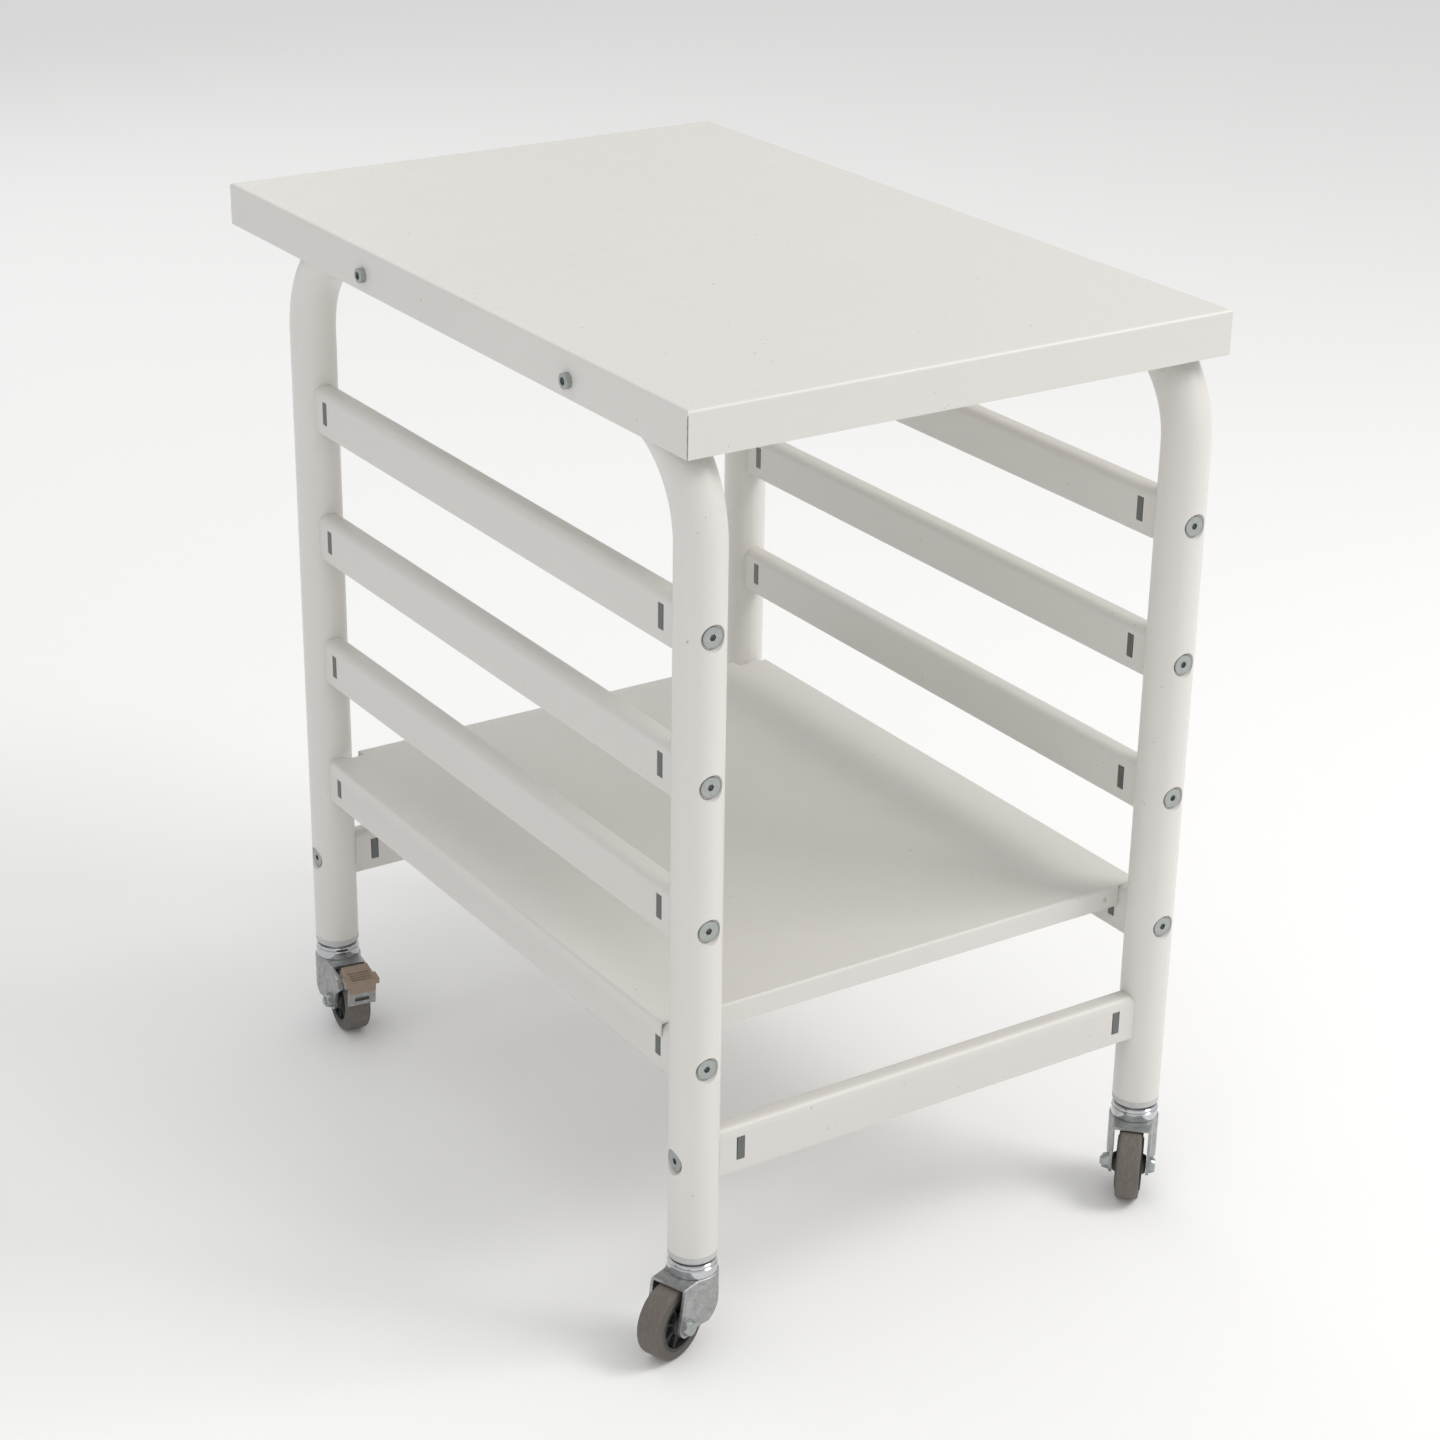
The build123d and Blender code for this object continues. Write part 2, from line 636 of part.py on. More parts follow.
save("rail_bolts", *side_rail_fixings(rail_bolt(), 0))
save("cross_rail_bolts", *cross_rail_fixings(rail_bolt(), 0))
save("rail_plate_nuts", *side_rail_fixings(plate_nut(), plate_nut_offset))
save("cross_plate_nuts", *cross_rail_fixings(plate_nut(), plate_nut_offset))
save("tabletop_screws", *tabletop_fixings(tabletop_screw(), 0))
save("rivet_nuts", *tabletop_fixings(rivet_nut(), top_sheet))
save("castor_sockets", *[Pos(x, y, 0) * castor_socket() for x, y in corners.values()])

for corner, (x, y) in corners.items():
    place = Pos(x, y, 0) * Rot(0, 0, headings[corner])
    for piece, shapes in castor_pieces(corner in braked).items():
        save(f"{corner}_{piece}", *[place * shape for shape in shapes])

print("origin from the middle of the legs, Y", round((front_limit + top_back_y) / 2, 3))
print("footprint X", round(wheel_reach("front_left", 0), 2), round(wheel_reach("back_right", 0), 2))
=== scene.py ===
"""Finishes and small moulded details of a white steel rack trolley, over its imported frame."""

import json
import math

import bmesh
import bpy
import numpy as np
from mathutils import Euler, Matrix, Vector


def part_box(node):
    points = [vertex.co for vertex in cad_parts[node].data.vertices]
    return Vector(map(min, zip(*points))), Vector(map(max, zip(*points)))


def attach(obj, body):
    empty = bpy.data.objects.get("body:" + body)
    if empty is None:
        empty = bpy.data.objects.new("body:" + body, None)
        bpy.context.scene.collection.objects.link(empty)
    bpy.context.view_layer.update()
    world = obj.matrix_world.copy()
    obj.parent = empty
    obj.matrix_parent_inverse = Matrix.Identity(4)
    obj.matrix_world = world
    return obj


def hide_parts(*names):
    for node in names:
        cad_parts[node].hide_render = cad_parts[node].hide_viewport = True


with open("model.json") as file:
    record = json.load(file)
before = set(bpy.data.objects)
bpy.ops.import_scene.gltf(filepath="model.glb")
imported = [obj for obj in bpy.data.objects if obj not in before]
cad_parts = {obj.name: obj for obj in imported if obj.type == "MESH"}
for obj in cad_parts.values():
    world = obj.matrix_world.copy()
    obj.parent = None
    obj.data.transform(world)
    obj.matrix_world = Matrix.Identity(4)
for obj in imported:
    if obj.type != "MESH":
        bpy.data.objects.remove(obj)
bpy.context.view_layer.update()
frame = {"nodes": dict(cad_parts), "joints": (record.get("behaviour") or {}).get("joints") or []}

bl_info = {
    "name": "Rack Trolley Finishes",
    "version": (1, 0, 0),
    "blender": (4, 5, 0),
    "location": "View3D > Sidebar > Trolley",
    "description": "Powder coat, plating, rubber and plastic for a rack trolley, "
                   "with its tyres and wheel ribs",
    "category": "Object",
}

JOINTS = {joint["name"]: joint for joint in frame["joints"]}
CORNERS = ("front_left", "front_right", "back_left", "back_right")
BRAKED = ("back_left", "back_right")

# Colours of dirt and wear.
COAT_DUST = (0.62, 0.585, 0.53)
COAT_GRIME = (0.40, 0.36, 0.31)
COAT_CHIP = (0.30, 0.275, 0.25)
ZINC_SMEAR = (0.50, 0.50, 0.47)
ZINC_GRIME = (0.20, 0.19, 0.175)
BOLT_GRIME = (0.18, 0.16, 0.13)
RUBBED_HUB = (0.11, 0.105, 0.10)
RUBBED_RIB = (0.12, 0.115, 0.105)
RUBBED_SOCKET = (0.40, 0.39, 0.37)
RUBBED_PAD = (0.40, 0.33, 0.265)
TREAD_DUST = (0.235, 0.208, 0.18)
TREAD_GRIT = (0.33, 0.30, 0.26)

# Tyres and wheel cores, in metres.
TREAD_START = 0.0222
TREAD_RISE = 400.0
RIDGE_SPREAD = 0.00035
WHEEL_SEGMENTS = 144
RIB_BOSS_RADIUS = 0.0073
RIM_WALL = 0.0021
RIB_INNER = 0.0042
RIB_OUTER = 0.0078

# The stage, in metres, watts, degrees and millimetres of lens.
FLOOR_REACH = 14.0
FLOOR_COLOUR = (0.97, 0.97, 0.967, 1.0)
FLOOR_ROUGHNESS = 0.75
LIGHTS_AIM = (0.0, 0.0, 0.30)
LIGHTS = (
    # name, place, size, power, colour
    ("key", (1.7, -1.5, 2.5), 1.3, 38.0, (1.0, 0.985, 0.96)),
    ("fill", (-2.4, -1.6, 1.5), 2.4, 7.0, (0.97, 0.985, 1.0)),
    ("back", (0.2, 2.8, 1.9), 2.0, 8.0, (1.0, 1.0, 1.0)),
    ("overhead", (0.0, 0.1, 3.1), 2.6, 8.0, (1.0, 0.995, 0.98)),
)
WORLD_STRENGTH = 0.66
SENSOR_WIDTH = 36.0
LENS = 77.325
CAMERA_PLACE = (-1.0810, -1.6651, 1.1577)
CAMERA_DOWN = 23.661
CAMERA_TURN = -33.294
CAMERA_ROLL = 0.861


# --- Sizes and colours a user would change --------------------------------------------------------------
def length(name, description, default):
    return bpy.props.FloatProperty(name=name, description=description, default=default, unit="LENGTH",
                                   precision=4)


def colour(name, description, default):
    return bpy.props.FloatVectorProperty(name=name, description=description, default=default, size=3,
                                         subtype="COLOR", min=0.0, max=1.0)


class TrolleySizes(bpy.types.PropertyGroup):
    edge_round: length("Tyre edge", "Radius of the tyre's two outer edges", 0.0026)
    mould_ridge: length("Mould ridge", "Height of the fine ridge round the middle of the tread", 0.00018)
    side_groove: length("Side groove", "Depth of the ring pressed into each side of the tyre", 0.0004)
    rib_width: length("Rib width", "Thickness of one rib of the wheel's core", 0.0013)
    rib_count: bpy.props.IntProperty(name="Ribs", description="Ribs on each side of a wheel's core",
                                     default=8, min=3, max=16)
    peel_size: length("Peel size", "Distance from bump to bump of the powder coat's skin", 0.0016)
    spangle_size: length("Spangle size", "Width of one crystal of the zinc on the forks", 0.0042)


class TrolleyColours(bpy.types.PropertyGroup):
    coat: colour("Powder coat", "Warm white of the frame, rails, shelf and worktop", (0.72, 0.700, 0.668))
    zinc: colour("Zinc", "Grey plating of the forks and brake levers", (0.40, 0.41, 0.42))
    fastener: colour("Fasteners", "Passivated zinc of bolts and nuts", (0.40, 0.425, 0.415))
    chrome: colour("Chrome", "Bright plating of the swivel collars", (0.62, 0.63, 0.65))
    socket: colour("Sockets", "Light grey plastic in the ends of the legs", (0.55, 0.55, 0.54))
    hub: colour("Wheel core", "Dark plastic of the wheels' cores", (0.035, 0.037, 0.036))
    tyre: colour("Tyre", "Grey brown rubber", (0.108, 0.096, 0.085))
    pad: colour("Brake pad", "Tan plastic of the brake pads", (0.31, 0.235, 0.175))


# --- Shader maths ---------------------------------------------------------------------------------------
class Value:
    """A number that varies over a surface: a socket that can be used in Python expressions."""

    def __init__(self, shade, socket):
        self.shade = shade
        self.socket = socket

    def _maths(self, operation, first, second):
        return self.shade.node("ShaderNodeMath", {"operation": operation}, [first, second])

    def __add__(self, other):
        return self._maths("ADD", self, other)

    def __radd__(self, other):
        return self._maths("ADD", other, self)

    def __sub__(self, other):
        return self._maths("SUBTRACT", self, other)

    def __mul__(self, other):
        return self._maths("MULTIPLY", self, other)

    def __pow__(self, other):
        return self._maths("POWER", self, other)

    def __gt__(self, other):
        return self._maths("GREATER_THAN", self, other)


class Shade:
    """One material being built, with Object coordinates in metres as its starting point."""

    def __init__(self, name):
        self.material = bpy.data.materials.new(name)
        self.material.use_nodes = True
        self.tree = self.material.node_tree
        self.principled = self.tree.nodes["Principled BSDF"]
        self.coords = self.node("ShaderNodeTexCoord", {}, [], "Object")

    def node(self, kind, settings, inputs, output=0):
        """Adds a node: settings first, then input values or links by place or name; returns one output."""
        made = self.tree.nodes.new(kind)
        for key, setting in settings.items():
            if key == "stops":
                self._stops(made.color_ramp, setting)
            else:
                setattr(made, key, setting)
        pairs = inputs.items() if isinstance(inputs, dict) else enumerate(inputs)
        for key, entry in pairs:
            if isinstance(entry, Value):
                self.tree.links.new(entry.socket, made.inputs[key])
            else:
                made.inputs[key].default_value = entry
        return Value(self, made.outputs[output])

    @staticmethod
    def _stops(ramp, stops):
        while len(ramp.elements) < len(stops):
            ramp.elements.new(0.5)
        for element, (place, shade) in zip(ramp.elements, stops):
            element.position = place
            element.color = (*shade, 1.0) if isinstance(shade, tuple) else (shade, shade, shade, 1.0)

    def noise(self, size, detail=3.0, rough=0.5, stretch=(1.0, 1.0, 1.0)):
        """Cloudy value from 0 to 1 whose blobs are about one size across, drawn out by stretch."""
        place = self.node("ShaderNodeMapping", {}, {"Vector": self.coords, "Scale": stretch})
        return self.node("ShaderNodeTexNoise", {"noise_dimensions": "3D"},
                         {"Vector": place, "Scale": 1.0 / size, "Detail": detail, "Roughness": rough}, "Fac")

    def cells(self, size):
        """Random colour for each cell of a pattern whose cells are about one size across."""
        return self.node("ShaderNodeTexVoronoi", {"feature": "F1"},
                         {"Vector": self.coords, "Scale": 1.0 / size}, "Color")

    def ramp(self, value, *stops):
        return self.node("ShaderNodeValToRGB", {"stops": stops}, {"Fac": value}, "Color")

    def height(self):
        """Height above the floor in metres."""
        return self.node("ShaderNodeSeparateXYZ", {}, [self.coords], "Z")

    def facing_up(self):
        """1 where the surface faces straight up, 0 at the sides and below."""
        normal = self.node("ShaderNodeNewGeometry", {}, [], "Normal")
        up = self.node("ShaderNodeSeparateXYZ", {}, [normal], "Z")
        return self.node("ShaderNodeClamp", {}, [up])

    def blend(self, share, first, second):
        """Colour between two colours, by a share from 0 to 1."""
        def entry(shade):
            return shade if isinstance(shade, Value) else (*shade, 1.0)
        return self.node("ShaderNodeMix", {"data_type": "RGBA"},
                         {0: share, 6: entry(first), 7: entry(second)}, 2)

    def bump(self, *layers):
        """Stacks bump layers, each a height value and its depth in metres."""
        under = None
        for height, depth in layers:
            inputs = {"Height": height, "Strength": 1.0, "Distance": depth}
            if under:
                inputs["Normal"] = under
            under = self.node("ShaderNodeBump", {}, inputs, "Normal")
        return under

    def finish(self, colour_value, roughness, normal=None, **constants):
        for key, entry in {"Base Color": colour_value, "Roughness": roughness, "Normal": normal}.items():
            if isinstance(entry, Value):
                self.tree.links.new(entry.socket, self.principled.inputs[key])
            elif entry is not None:
                self.principled.inputs[key].default_value = entry
        for key, entry in constants.items():
            self.principled.inputs[key.replace("_", " ")].default_value = entry
        return self.material


def scaled(shade, factor):
    return tuple(min(1.0, part * factor) for part in shade)


# --- Finishes -------------------------------------------------------------------------------------------
def powder_coat(name, shade, peel, painted_light_factor):
    """Satin powder coat: fine orange peel, slow random changes of colour, dust on level faces, pinprick
    chips; the whole colour is scaled per part by a painted light factor.
    """
    s = Shade(name)
    # Painted light and shade: the coat's colour is scaled up where a part looks lit and down where it looks
    # shaded.
    base = scaled(shade, painted_light_factor)
    slow = s.noise(0.22, 2.0)
    cloud = s.noise(0.035, 4.0)
    specks = (s.noise(0.0045, 2.0, 0.6) > 0.735) * (s.noise(0.03, 2.0) > 0.56)
    low = s.ramp(s.height(), (0.0, 1.0), (0.16, 0.0))
    dust = (s.facing_up() ** 6.0) * s.noise(0.012, 5.0, 0.65) * 0.22
    body = s.blend(slow, scaled(base, 0.972), scaled(base, 1.018))
    body = s.blend(cloud * 0.35, body, scaled(base, 0.955))
    body = s.blend(dust, body, COAT_DUST)
    body = s.blend(low * s.noise(0.006, 4.0, 0.6) * 0.16, body, COAT_GRIME)
    body = s.blend(specks * 0.55, body, COAT_CHIP)
    rough = 0.34 + cloud * 0.10 + dust * 0.9 + specks * 0.2
    normal = s.bump((s.noise(peel, 2.0, 0.45), peel * 0.035), (s.noise(0.018, 2.0), 0.00012))
    return s.finish(body, rough, normal, Coat_Weight=0.12, Coat_Roughness=0.22)


def zinc_spangle(name, shade, size):
    """Dull zinc plate: crystals of slightly different greys, wiped smears and patches of grime."""
    s = Shade(name)
    crystal = s.cells(size)
    grey = s.node("ShaderNodeSeparateColor", {}, [crystal], "Red")
    smear = s.noise(0.007, 4.0, 0.6, (1.0, 1.0, 2.6))
    grime = s.ramp(s.noise(0.0038, 5.0, 0.62), (0.52, 0.0), (0.72, 1.0))
    body = s.blend(grey, scaled(shade, 0.80), scaled(shade, 1.16))
    body = s.blend(smear * 0.5, body, ZINC_SMEAR)
    body = s.blend(grime * 0.38, body, ZINC_GRIME)
    rough = 0.30 + smear * 0.20 + grime * 0.22 + grey * 0.06
    normal = s.bump((s.noise(0.0009, 3.0, 0.55), 0.00003), (smear, 0.00006))
    return s.finish(body, rough, normal, Metallic=0.95)


def passivated(name, shade):
    """Bolt and nut plating: cloudy grey, with fine turning marks."""
    s = Shade(name)
    bloom = s.noise(0.0035, 3.0, 0.55)
    marks = s.noise(0.0006, 3.0, 0.6)
    body = s.blend(bloom, scaled(shade, 0.84), scaled(shade, 1.18))
    grime = s.ramp(s.noise(0.0016, 4.0, 0.6), (0.58, 0.0), (0.70, 1.0))
    body = s.blend(grime * 0.35, body, BOLT_GRIME)
    return s.finish(body, 0.27 + bloom * 0.16 + marks * 0.08, s.bump((marks, 0.000025)), Metallic=0.97)


def bright_chrome(name, shade):
    """Chrome on a pressed race: almost a mirror, with faint haze and fine scratches."""
    s = Shade(name)
    haze = s.noise(0.006, 4.0, 0.6)
    scratch = s.noise(0.0011, 3.0, 0.7, (1.0, 1.0, 7.0))
    body = s.blend(haze * 0.4, scaled(shade, 1.02), scaled(shade, 0.82))
    rough = 0.07 + haze * 0.10 + scratch * 0.06
    return s.finish(body, rough, s.bump((scratch, 0.000012)), Metallic=1.0)


def moulded_plastic(name, shade, rubbed, grain=0.0007, rough=0.48):
    """Moulded plastic: fine spark grain, slow flow marks, and lighter rubbed patches."""
    s = Shade(name)
    flow = s.noise(0.009, 3.0, 0.55)
    worn = s.ramp(s.noise(0.0042, 4.0, 0.62), (0.54, 0.0), (0.74, 1.0))
    body = s.blend(flow, scaled(shade, 0.88), scaled(shade, 1.10))
    body = s.blend(worn * 0.42, body, rubbed)
    return s.finish(body, rough + flow * 0.10 - worn * 0.08,
                    s.bump((s.noise(grain, 2.0), 0.00004), (flow, 0.00006)))


def tyre_rubber(name, shade, joint):
    """Soft rubber: dusty tread, darker sides, scuffs drawn out round the wheel and embedded grit."""
    s = Shade(name)
    place = Vector(joint["pos_m"])
    turn = Vector((0, 0, 1)).rotation_difference(Vector(joint["axis"])).to_euler()
    local = s.node("ShaderNodeMapping", {"vector_type": "TEXTURE"},
                   {"Vector": s.coords, "Location": place, "Rotation": turn})
    parts = s.tree.nodes.new("ShaderNodeSeparateXYZ")
    s.tree.links.new(local.socket, parts.inputs[0])
    x, y, z = (Value(s, parts.outputs[i]) for i in range(3))
    radius = (x * x + y * y) ** 0.5
    tread = s.ramp((radius - TREAD_START) * TREAD_RISE, (0.35, 0.0), (0.95, 1.0))
    angle = s.node("ShaderNodeMath", {"operation": "ARCTAN2"}, [y, x])
    wrapped = s.node("ShaderNodeCombineXYZ", {}, [angle * 0.006, radius * 1.6, z * 2.0])
    streak = s.node("ShaderNodeTexNoise", {}, {"Vector": wrapped, "Scale": 900.0, "Detail": 4.0}, "Fac")
    scuff = s.ramp(streak, (0.48, 0.0), (0.70, 1.0))
    grit = s.noise(0.0011, 3.0, 0.6) > 0.69
    body = s.blend(s.noise(0.008, 3.0), scaled(shade, 0.86), scaled(shade, 1.14))
    body = s.blend(tread * (0.25 + scuff * 0.45), body, TREAD_DUST)
    body = s.blend(grit * tread * 0.5, body, TREAD_GRIT)
    rough = 0.60 + tread * 0.14 + scuff * 0.08
    normal = s.bump((s.noise(0.0008, 3.0, 0.55), 0.00005), (scuff, 0.00005))
    return s.finish(body, rough, normal)


def coat_node(name, material):
    """Puts one finish in every material slot of a node of the frame."""
    node = frame["nodes"][name]
    if not node.material_slots:
        node.data.materials.append(material)
    for slot in node.material_slots:
        slot.material = material


# --- Surfaces -------------------------------------------------------------------------------------------
def skin(name, points, material):
    """Mesh over a grid of points that closes on itself both ways."""
    rows, columns = points.shape[:2]
    row, column = np.meshgrid(np.arange(rows), np.arange(columns), indexing="ij")
    after_row, after_column = (row + 1) % rows, (column + 1) % columns
    corners = [row * columns + column, after_row * columns + column,
               after_row * columns + after_column, row * columns + after_column]
    faces = np.stack(corners, -1).reshape(-1, 4)
    return mesh_piece(name, points.reshape(-1, 3), faces.tolist(), material)


def mesh_piece(name, vertices, faces, material):
    """Closed smooth piece in one material, its faces turned outwards."""
    mesh = bpy.data.meshes.new(name)
    mesh.from_pydata(vertices.tolist(), [], faces)
    mesh.materials.append(material)
    face_outwards(mesh)
    piece = bpy.data.objects.new(name, mesh)
    bpy.context.scene.collection.objects.link(piece)
    return piece


def wheel_frame(joint):
    """Centre of a wheel and three unit vectors: two across its plane and its axle's direction."""
    axle = np.array(joint["axis"], float)
    axle /= np.linalg.norm(axle)
    up = np.array((0.0, 0.0, 1.0))
    side = np.cross(up, axle)
    return np.array(joint["pos_m"], float), side, up, axle


def turned_ring(outline, joint):
    """Ring round an axle: radius and offset from a closed outline, each point carried round a circle."""
    centre, side, up, axle = wheel_frame(joint)
    angle = np.linspace(0.0, 2 * np.pi, WHEEL_SEGMENTS, endpoint=False)
    spoke = np.cos(angle)[:, None] * side + np.sin(angle)[:, None] * up
    radius, offset = outline[:, 0], outline[:, 1]
    return centre + radius[None, :, None] * spoke[:, None, :] + offset[None, :, None] * axle


def tyre_outline(outer, inner, half, sizes):
    """Closed tyre section as (radius, offset): rounded shoulders, a mould ridge, a ring in each side.

    Radius over the tread is the outer one plus a narrow bell curve at the middle; each side is flat
    with a cosine-shaped hollow part way down; the shoulders are quarter circles."""
    r = sizes.edge_round
    across = np.linspace(-half + r, half - r, 31)
    ridge = sizes.mould_ridge * (np.exp(-(across / RIDGE_SPREAD) ** 2) - 1.0)
    tread = np.stack([outer + ridge, across], -1)
    sweep = np.linspace(0.0, np.pi / 2, 9)[1:-1]
    turn_radius = outer - sizes.mould_ridge - r
    shoulder = np.stack([turn_radius + r * np.cos(sweep), half - r + r * np.sin(sweep)], -1)
    down = np.linspace(turn_radius, inner, 20)
    share = (down - inner) / (outer - r - inner)
    hollow = sizes.side_groove * 0.5 * (1 - np.cos(2 * np.pi * np.clip((share - 0.15) / 0.7, 0, 1)))
    wall = np.stack([down, half - hollow], -1)
    mirror = np.array((1.0, -1.0))
    return np.concatenate([tread, shoulder, wall, (wall * mirror)[::-1], (shoulder * mirror)[::-1]])


def rib_set(joint, sizes, rim_radius):
    """Ribs of one wheel core as closed bars: each runs from boss to rim, swollen where it meets them.

    Along a rib the half width is half its thickness times one plus the fourth power of the distance
    from mid span; across it the section is a superellipse of fourth order."""
    centre, side, up, axle = wheel_frame(joint)
    span = np.linspace(-1.0, 1.0, 13)
    reach = RIB_BOSS_RADIUS + (span + 1) / 2 * (rim_radius - RIB_BOSS_RADIUS)
    half_width = sizes.rib_width / 2 * (1.0 + 0.9 * span ** 4)
    turn = np.linspace(0.0, 2 * np.pi, 20, endpoint=False)
    flat, deep = (np.sign(wave) * np.abs(wave) ** 0.5 for wave in (np.cos(turn), np.sin(turn)))
    vertices, faces = [], []
    for face_side in (-1.0, 1.0):
        middle = face_side * (RIB_INNER + RIB_OUTER) / 2
        depth = (RIB_OUTER - RIB_INNER) / 2
        for rib in range(sizes.rib_count):
            angle = 2 * np.pi * (rib + 0.25 * (face_side + 1)) / sizes.rib_count
            spoke = np.cos(angle) * side + np.sin(angle) * up
            beside = -np.sin(angle) * side + np.cos(angle) * up
            points = (centre + reach[:, None, None] * spoke
                      + (half_width[:, None] * flat[None, :])[..., None] * beside
                      + (middle + depth * deep)[None, :, None] * axle)
            vertices.append(points.reshape(-1, 3))
            faces.append(bar_faces(len(span), len(turn), len(faces)))
    return np.concatenate(vertices), [face for group in faces for face in group]


def bar_faces(rows, columns, index):
    """Faces of one closed bar in a list of like bars: its skin and a cap at each end."""
    start = index * rows * columns
    row, column = np.meshgrid(np.arange(rows - 1), np.arange(columns), indexing="ij")
    after = (column + 1) % columns
    quads = np.stack([row * columns + column, row * columns + after,
                      (row + 1) * columns + after, (row + 1) * columns + column], -1).reshape(-1, 4) + start
    ring = np.arange(columns) + start
    return quads.tolist() + [ring[::-1].tolist(), (ring + (rows - 1) * columns).tolist()]


def face_outwards(mesh):
    """Turns every face of a closed mesh outwards and smooths it."""
    edited = bmesh.new()
    edited.from_mesh(mesh)
    bmesh.ops.recalc_face_normals(edited, faces=edited.faces)
    edited.to_mesh(mesh)
    edited.free()
    mesh.shade_smooth()


# --- Operators ------------------------------------------------------------------------------------------
class TROLLEY_OT_powder_coat(bpy.types.Operator):
    """Powder coats the worktop, side frames, rails and shelf"""

    bl_idname = "trolley.powder_coat"
    bl_label = "Powder coat"

    def execute(self, context):
        shade = tuple(context.scene.trolley_colours.coat)
        peel = context.scene.trolley_sizes.peel_size
        # One coat on every part: the tubes are lightened as painted light, and the rails and shelf are
        # darkened as painted shade.
        top = powder_coat("worktop_coat", shade, peel, painted_light_factor=1.0)
        tube = powder_coat("tube_coat_painted_light", shade, peel, painted_light_factor=1.03)
        pressed = powder_coat("rail_coat_painted_shade", shade, peel, painted_light_factor=0.97)
        tray = powder_coat("shelf_coat_painted_shade", shade, peel, painted_light_factor=0.99)
        coat_node("tabletop", top)
        coat_node("shelf", tray)
        for side in ("left", "right"):
            coat_node(f"side_frame_{side}", tube)
            for level in range(1, 5):
                coat_node(f"rail_{side}_{level}", pressed)
        for end in ("front", "back"):
            coat_node(f"cross_rail_{end}", pressed)
        return {"FINISHED"}


class TROLLEY_OT_fasteners(bpy.types.Operator):
    """Plates the bolts, nuts and screws"""

    bl_idname = "trolley.fasteners"
    bl_label = "Plate fasteners"

    def execute(self, context):
        shade = tuple(context.scene.trolley_colours.fastener)
        plating = passivated("fastener_plating", shade)
        # Plate nuts: the fastener zinc is darkened as painted shade of the rail slots they sit in.
        slot_shade_plating = passivated("plate_nut_painted_shade", scaled(shade, 0.42))
        for name in ("rail_plate_nuts", "cross_plate_nuts"):
            coat_node(name, slot_shade_plating)
        names = ["rail_bolts", "cross_rail_bolts", "tabletop_screws", "rivet_nuts"]
        for corner in CORNERS:
            names += [f"{corner}_axle_bolt", f"{corner}_axle_nut"]
        for name in names:
            coat_node(name, plating)
        return {"FINISHED"}


class TROLLEY_OT_castors(bpy.types.Operator):
    """Finishes the castors' sockets, collars, balls, forks and wheel cores"""

    bl_idname = "trolley.castors"
    bl_label = "Finish castors"

    def execute(self, context):
        colours = context.scene.trolley_colours
        zinc = zinc_spangle("fork_zinc", tuple(colours.zinc), context.scene.trolley_sizes.spangle_size)
        chrome = bright_chrome("collar_chrome", tuple(colours.chrome))
        hub = moulded_plastic("wheel_core_plastic", tuple(colours.hub), RUBBED_HUB)
        socket = moulded_plastic("socket_plastic", tuple(colours.socket), RUBBED_SOCKET, 0.0006, 0.42)
        coat_node("castor_sockets", socket)
        for corner in CORNERS:
            for piece in ("stem", "race", "balls"):
                coat_node(f"{corner}_{piece}", chrome)
            coat_node(f"{corner}_fork", zinc)
            coat_node(f"{corner}_hub", hub)
        return {"FINISHED"}


class TROLLEY_OT_brakes(bpy.types.Operator):
    """Finishes the brake levers, their pins and their pads"""

    bl_idname = "trolley.brakes"
    bl_label = "Finish brakes"

    def execute(self, context):
        colours = context.scene.trolley_colours
        steel = zinc_spangle("lever_zinc", scaled(tuple(colours.zinc), 0.92), 0.003)
        plastic = moulded_plastic("pad_plastic", tuple(colours.pad), RUBBED_PAD, 0.0005, 0.50)
        for corner in BRAKED:
            coat_node(f"{corner}_brake_lever", steel)
            coat_node(f"{corner}_brake_pin", steel)
            coat_node(f"{corner}_brake_pad", plastic)
        return {"FINISHED"}


class TROLLEY_OT_tyres(bpy.types.Operator):
    """Moulds the four tyres, with a mould ridge and a ring in each side"""

    bl_idname = "trolley.tyres"
    bl_label = "Mould tyres"

    def execute(self, context):
        sizes = context.scene.trolley_sizes
        shade = tuple(context.scene.trolley_colours.tyre)
        for corner in CORNERS:
            joint = JOINTS[f"wheel_{corner}_spin"]
            low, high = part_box(f"{corner}_tyre")
            outer = (high.z - low.z) / 2
            hub_low, hub_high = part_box(f"{corner}_hub")
            inner = (hub_high.z - hub_low.z) / 2
            axle = np.abs(np.array(joint["axis"][:2], float))
            along = 0 if axle[0] > axle[1] else 1
            half = (high[along] - low[along] - 2 * outer * axle[1 - along]) / (2 * axle[along])
            outline = tyre_outline(outer, inner, half, sizes)
            material = tyre_rubber(f"{corner}_tyre_rubber", shade, joint)
            piece = skin(f"{corner}_moulded_tyre", turned_ring(outline, joint), material)
            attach(piece, f"wheel_{corner}")
            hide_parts(f"{corner}_tyre")
        return {"FINISHED"}


class TROLLEY_OT_wheel_ribs(bpy.types.Operator):
    """Adds the ribs moulded between the boss and the rim of each wheel's core"""

    bl_idname = "trolley.wheel_ribs"
    bl_label = "Add wheel ribs"

    def execute(self, context):
        sizes = context.scene.trolley_sizes
        shade = tuple(context.scene.trolley_colours.hub)
        material = moulded_plastic("wheel_rib_plastic", shade, RUBBED_RIB)
        for corner in CORNERS:
            hub_low, hub_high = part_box(f"{corner}_hub")
            rim = (hub_high.z - hub_low.z) / 2
            joint = JOINTS[f"wheel_{corner}_spin"]
            vertices, faces = rib_set(joint, sizes, rim - RIM_WALL)
            piece = mesh_piece(f"{corner}_wheel_ribs", vertices, faces, material)
            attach(piece, f"wheel_{corner}")
        return {"FINISHED"}


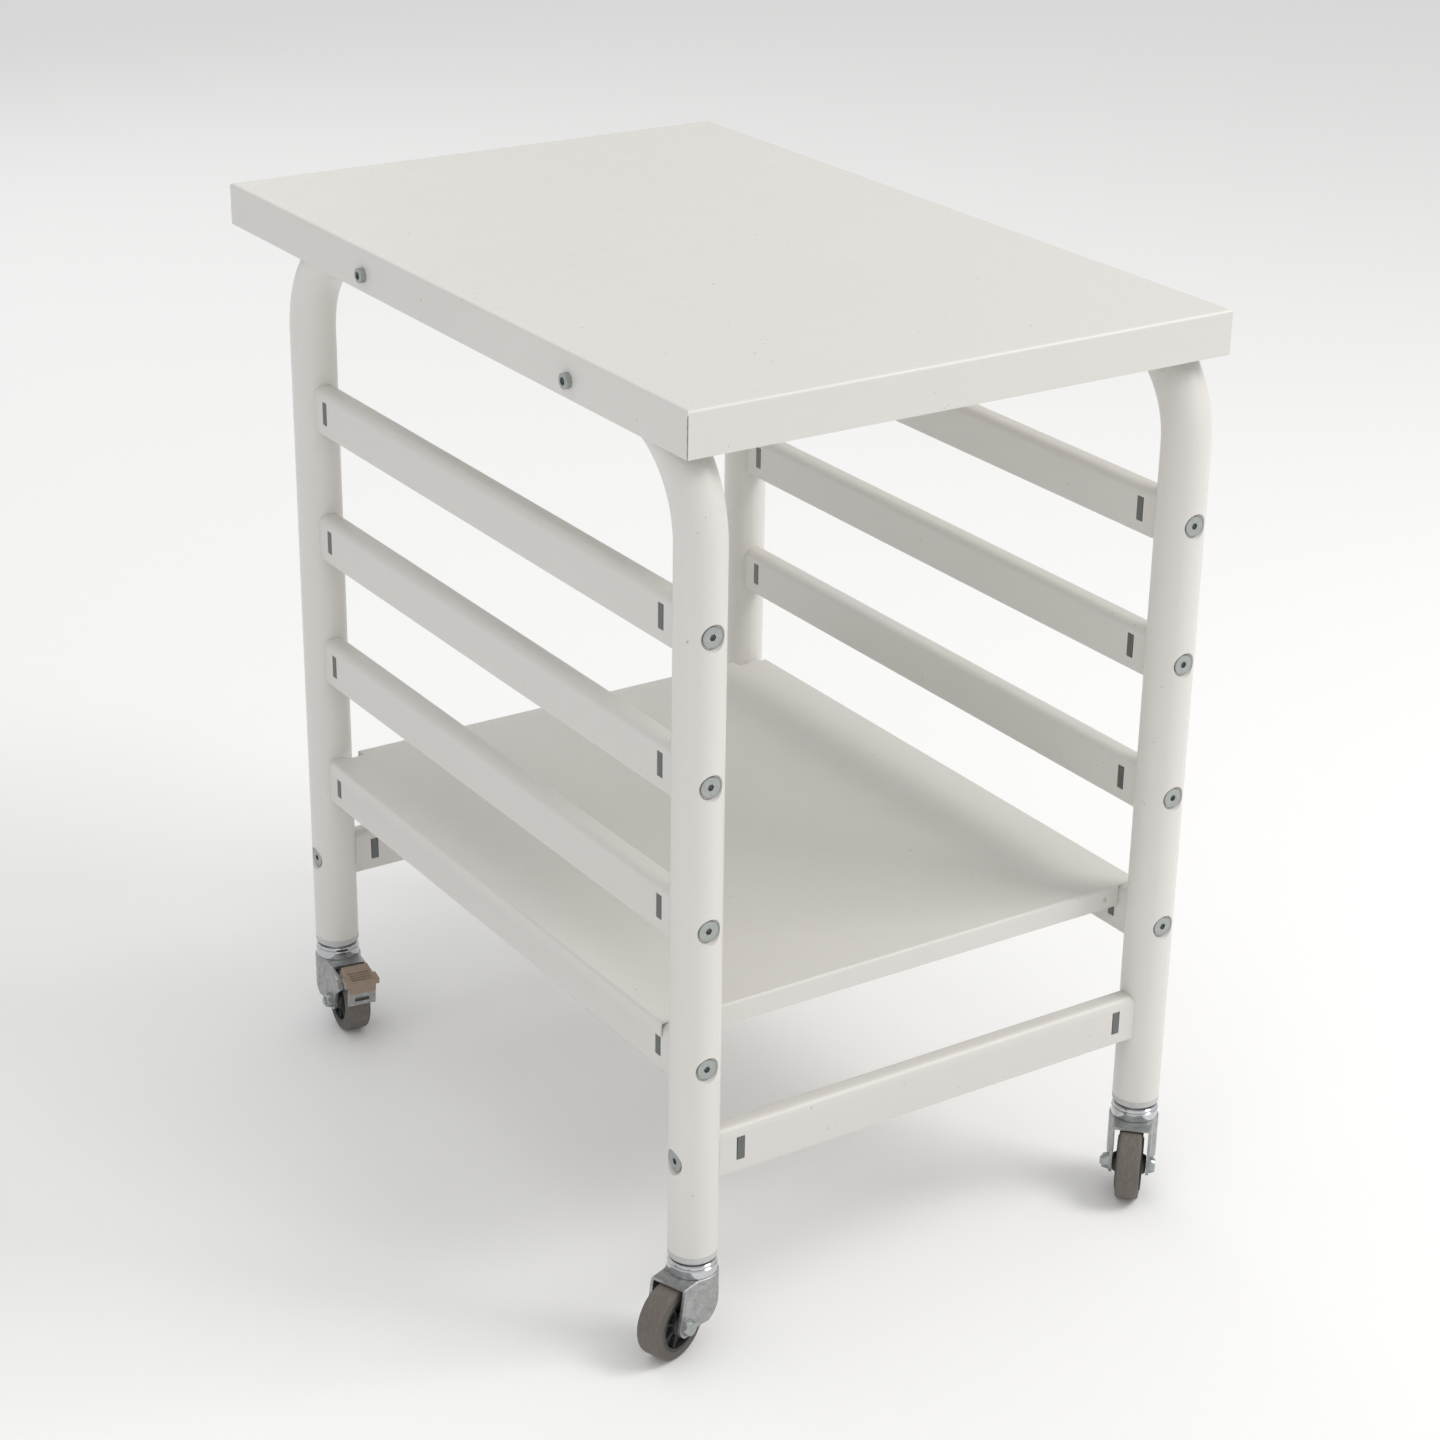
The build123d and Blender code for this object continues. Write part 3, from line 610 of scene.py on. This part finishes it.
class TROLLEY_OT_stage(bpy.types.Operator):
    """Sets up the pale floor, the studio lights and the camera"""

    bl_idname = "trolley.stage"
    bl_label = "Set the stage"

    def execute(self, context):
        scene = context.scene
        floor_mesh = bpy.data.meshes.new("floor")
        r = FLOOR_REACH
        floor_mesh.from_pydata([(-r, -r, 0), (r, -r, 0), (r, r, 0), (-r, r, 0)], [], [(0, 1, 2, 3)])
        floor = bpy.data.objects.new("floor", floor_mesh)
        paint = Shade("floor_paint")
        floor_mesh.materials.append(paint.finish(FLOOR_COLOUR, FLOOR_ROUGHNESS))
        scene.collection.objects.link(floor)
        middle = Vector(LIGHTS_AIM)
        for name, place, size, power, tint in LIGHTS:
            light = bpy.data.lights.new(name, "AREA")
            light.shape = "SQUARE"
            light.size = size
            light.energy = power
            light.color = tint
            lamp = bpy.data.objects.new(name, light)
            lamp.location = place
            lamp.rotation_euler = (middle - Vector(place)).to_track_quat("-Z", "Y").to_euler()
            scene.collection.objects.link(lamp)
        world = bpy.data.worlds.new("studio")
        world.use_nodes = True
        background = world.node_tree.nodes["Background"]
        background.inputs["Color"].default_value = (1.0, 1.0, 1.0, 1.0)
        background.inputs["Strength"].default_value = WORLD_STRENGTH
        scene.world = world
        scene.view_settings.view_transform = "Standard"
        lens = bpy.data.cameras.new("camera")
        lens.sensor_width = SENSOR_WIDTH
        lens.lens = LENS
        camera = bpy.data.objects.new("camera", lens)
        camera.location = CAMERA_PLACE
        aim = Euler((math.radians(90.0 - CAMERA_DOWN), 0.0, math.radians(CAMERA_TURN))).to_matrix()
        camera.rotation_euler = (aim @ Matrix.Rotation(math.radians(CAMERA_ROLL), 3, "Z")).to_euler()
        scene.collection.objects.link(camera)
        scene.camera = camera
        return {"FINISHED"}


class TROLLEY_PT_panel(bpy.types.Panel):
    """Lists the trolley's pieces and finishes"""

    bl_idname = "TROLLEY_PT_panel"
    bl_label = "Rack trolley"
    bl_space_type = "VIEW_3D"
    bl_region_type = "UI"
    bl_category = "Trolley"

    def draw(self, context):
        for group in (context.scene.trolley_sizes, context.scene.trolley_colours):
            box = self.layout.box()
            for name in type(group).__annotations__:
                box.prop(group, name)
        for operator in OPERATORS:
            self.layout.operator(operator.bl_idname)


OPERATORS = (
    TROLLEY_OT_stage,
    TROLLEY_OT_powder_coat,
    TROLLEY_OT_fasteners,
    TROLLEY_OT_castors,
    TROLLEY_OT_brakes,
    TROLLEY_OT_tyres,
    TROLLEY_OT_wheel_ribs,
)
CLASSES = (TrolleySizes, TrolleyColours, *OPERATORS, TROLLEY_PT_panel)


def register():
    for cls in CLASSES:
        bpy.utils.register_class(cls)
    bpy.types.Scene.trolley_sizes = bpy.props.PointerProperty(type=TrolleySizes)
    bpy.types.Scene.trolley_colours = bpy.props.PointerProperty(type=TrolleyColours)


def unregister():
    del bpy.types.Scene.trolley_colours
    del bpy.types.Scene.trolley_sizes
    for cls in reversed(CLASSES):
        bpy.utils.unregister_class(cls)


def main():
    register()
    bpy.ops.trolley.stage()
    bpy.ops.trolley.powder_coat()
    bpy.ops.trolley.fasteners()
    bpy.ops.trolley.castors()
    bpy.ops.trolley.brakes()
    bpy.ops.trolley.tyres()
    bpy.ops.trolley.wheel_ribs()


if __name__ == "__main__":
    main()
